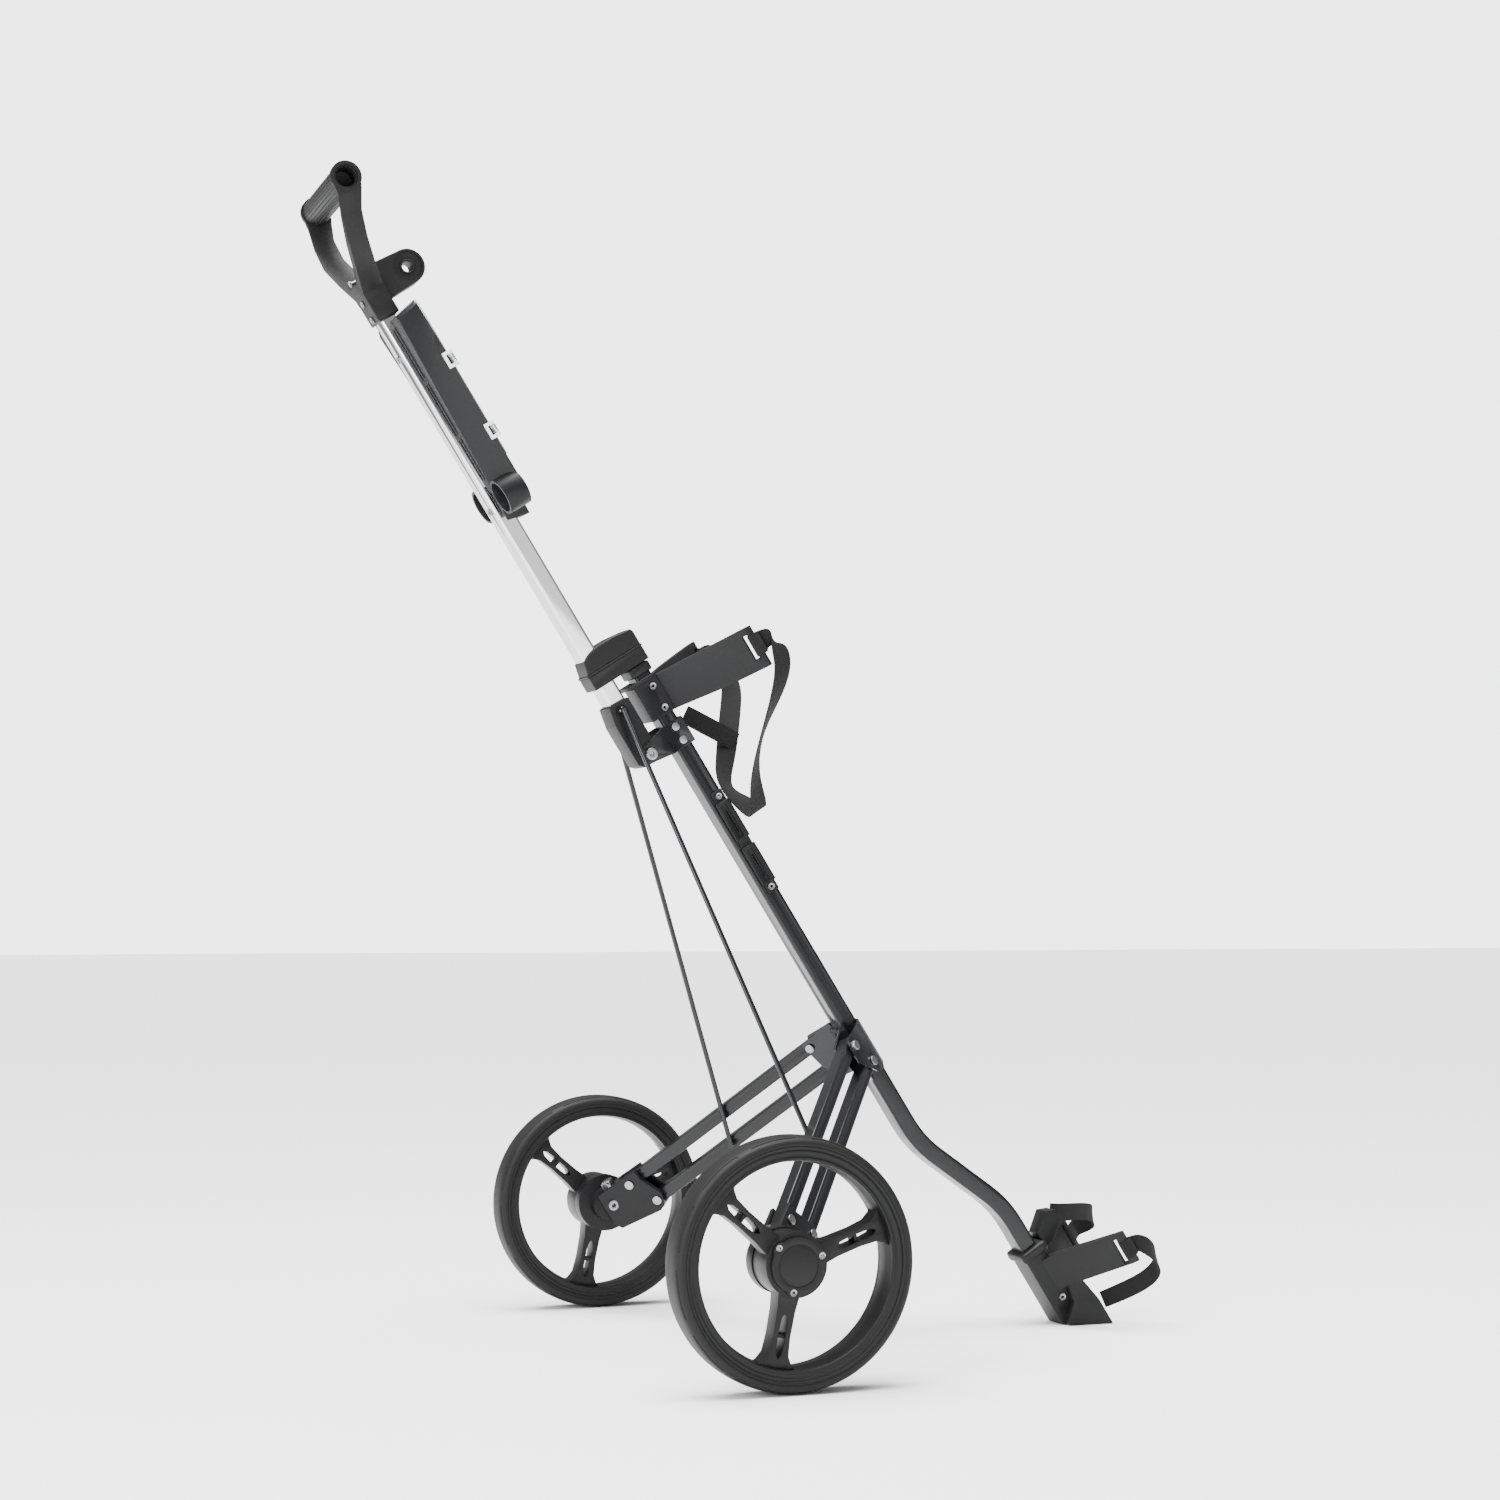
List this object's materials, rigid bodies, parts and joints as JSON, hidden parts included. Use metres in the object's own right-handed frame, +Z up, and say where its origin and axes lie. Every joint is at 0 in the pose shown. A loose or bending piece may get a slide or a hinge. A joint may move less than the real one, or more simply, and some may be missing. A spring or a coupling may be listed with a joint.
{
  "type": "golf push cart",
  "caption": "Folding golf bag push cart: leaning tube frame on a foot, hinged handle with scorecard console, linked wheel legs and bag cradles with straps.",
  "frame": {"origin": "on the ground, under the middle of the cart's overall length and width, standing open on its wheels and foot", "axes": "+X toward the bag foot, +Y to the left wheel, +Z up"},
  "size_m": [0.9697, 0.682, 1.2459],
  "materials": {
    "chrome_tube": "bright chrome",
    "black_tube": "satin powder coat",
    "black_steel": "gloss black",
    "grey_plastic": "satin moulded",
    "dark_plastic": "satin moulded",
    "rim_plastic": "satin moulded",
    "tyre": "matt",
    "steel": "bright zinc",
    "clear": "clear moulded",
    "white_clip": "translucent white",
    "webbing": "woven webbing",
    "bush": "acetal"
  },
  "bodies": {
    "frame": {"lower_tube": "black_tube", "tube_top_plug": "dark_plastic", "bag_bracket": "dark_plastic", "bag_bracket_screws": "steel", "bag_strap": "webbing", "bag_strap_keeper": "webbing", "u_bracket": "black_steel", "u_bracket_rivets": "steel", "pivot_bolt": "steel", "pivot_washers": "dark_plastic", "tee_holder": "dark_plastic", "tee_holder_screws": "steel", "hub_bracket_outer": "black_steel", "hub_bracket_inner": "black_steel", "hub_rivets": "steel", "leg_pins": "steel", "base_bracket": "grey_plastic", "base_screws": "steel", "base_strap_upper": "webbing", "base_strap_lower": "webbing", "strap_hook": "dark_plastic"},
    "handle": {"handle_tube": "chrome_tube", "rod_block": "grey_plastic", "handle_fork": "grey_plastic", "grip": "grey_plastic", "umbrella_mount": "grey_plastic", "umbrella_insert": "grey_plastic", "handle_screws": "steel", "scorecard_tray": "dark_plastic", "tray_screws": "steel", "cover_clips": "white_clip"},
    "cover": {"scorecard_cover": "clear"},
    "latch": {"latch_collar": "grey_plastic", "latch_hood": "grey_plastic"},
    "right_upper_link": {"right_leg_upper": "black_tube"},
    "right_lower_link": {"right_leg_lower": "black_tube"},
    "right_rod": {"right_stay_rod": "black_steel"},
    "right_bracket": {"right_wheel_bracket": "dark_plastic", "right_bracket_pins": "steel", "right_axle": "steel"},
    "right_button": {"right_release_button": "steel"},
    "right_wheel": {"right_rim": "rim_plastic", "right_spokes": "rim_plastic", "right_tyre": "tyre", "right_hub_cap": "rim_plastic", "right_hub_screws": "steel", "right_wheel_bushes": "bush"},
    "left_upper_link": {"left_leg_upper": "black_tube"},
    "left_lower_link": {"left_leg_lower": "black_tube"},
    "left_rod": {"left_stay_rod": "black_steel"},
    "left_bracket": {"left_wheel_bracket": "dark_plastic", "left_bracket_pins": "steel", "left_axle": "steel"},
    "left_button": {"left_release_button": "steel"},
    "left_wheel": {"left_rim": "rim_plastic", "left_spokes": "rim_plastic", "left_tyre": "tyre", "left_hub_cap": "rim_plastic", "left_hub_screws": "steel", "left_wheel_bushes": "bush"}
  },
  "joints": [
    {"name": "handle_fold", "type": "hinge", "parent": "frame", "child": "handle", "pos_m": [-0.11536, 0, 0.64032], "axis": [0, -1, 0], "range_deg": [0, 174]},
    {"name": "latch_slide", "type": "slide", "parent": "handle", "child": "latch", "axis": [-0.5358, 0, 0.8443], "range_m": [0, 0.04]},
    {"name": "cover_hinge", "type": "hinge", "parent": "handle", "child": "cover", "pos_m": [-0.32339, -0.0515, 1.01758], "axis": [0.5358, 0, -0.8443], "range_deg": [0, 110]},
    {"name": "right_upper_link_fold", "type": "hinge", "parent": "frame", "child": "right_upper_link", "pos_m": [0.10211, -0.05019, 0.31855], "axis": [0.5605, -0.7479, 0.3557], "range_deg": [0, 78.8]},
    {"name": "right_lower_link_fold", "type": "hinge", "parent": "frame", "child": "right_lower_link", "pos_m": [0.13196, -0.03598, 0.30138], "axis": [0.5605, -0.7479, 0.3557], "range_deg": [0, 78.8]},
    {"name": "right_bracket_fold", "type": "hinge", "parent": "right_upper_link", "child": "right_bracket", "pos_m": [-0.04883, -0.24138, 0.15443], "axis": [0.5605, -0.7479, 0.3557], "range_deg": [-78.8, 0]},
    {"name": "right_rod_swing", "type": "hinge", "parent": "right_lower_link", "child": "right_rod", "pos_m": [0.03694, -0.13886, 0.2011], "axis": [-0.5605, 0.7479, -0.3557], "range_deg": [0, 60.3]},
    {"name": "right_wheel_spin", "type": "hinge", "parent": "right_bracket", "child": "right_wheel", "pos_m": [-0.069, -0.318, 0.125], "axis": [0, 1, 0], "continuous": true},
    {"name": "right_button_press", "type": "slide", "parent": "right_bracket", "child": "right_button", "axis": [0.5358, 0, -0.8443], "range_m": [0, 0.004], "stiffness_N_per_m": 900},
    {"name": "left_upper_link_fold", "type": "hinge", "parent": "frame", "child": "left_upper_link", "pos_m": [0.10211, 0.05019, 0.31855], "axis": [-0.5605, -0.7479, -0.3557], "range_deg": [0, 78.8]},
    {"name": "left_lower_link_fold", "type": "hinge", "parent": "frame", "child": "left_lower_link", "pos_m": [0.13196, 0.03598, 0.30138], "axis": [-0.5605, -0.7479, -0.3557], "range_deg": [0, 78.8]},
    {"name": "left_bracket_fold", "type": "hinge", "parent": "left_upper_link", "child": "left_bracket", "pos_m": [-0.04883, 0.24138, 0.15443], "axis": [-0.5605, -0.7479, -0.3557], "range_deg": [-78.8, 0]},
    {"name": "left_rod_swing", "type": "hinge", "parent": "left_lower_link", "child": "left_rod", "pos_m": [0.03694, 0.13886, 0.2011], "axis": [0.5605, 0.7479, 0.3557], "range_deg": [0, 60.3]},
    {"name": "left_wheel_spin", "type": "hinge", "parent": "left_bracket", "child": "left_wheel", "pos_m": [-0.069, 0.318, 0.125], "axis": [0, 1, 0], "continuous": true},
    {"name": "left_button_press", "type": "slide", "parent": "left_bracket", "child": "left_button", "axis": [0.5358, 0, -0.8443], "range_m": [0, 0.004], "stiffness_N_per_m": 900}
  ],
  "couplings": [
    {"joint": "right_upper_link_fold", "follows": "handle_fold", "ratio": 0.4523},
    {"joint": "right_lower_link_fold", "follows": "handle_fold", "ratio": 0.4523},
    {"joint": "right_bracket_fold", "follows": "handle_fold", "ratio": -0.4523},
    {"joint": "right_rod_swing", "follows": "handle_fold", "ratio": 0.34598},
    {"joint": "left_upper_link_fold", "follows": "handle_fold", "ratio": 0.4523},
    {"joint": "left_lower_link_fold", "follows": "handle_fold", "ratio": 0.4523},
    {"joint": "left_bracket_fold", "follows": "handle_fold", "ratio": -0.4523},
    {"joint": "left_rod_swing", "follows": "handle_fold", "ratio": 0.34598}
  ]
}
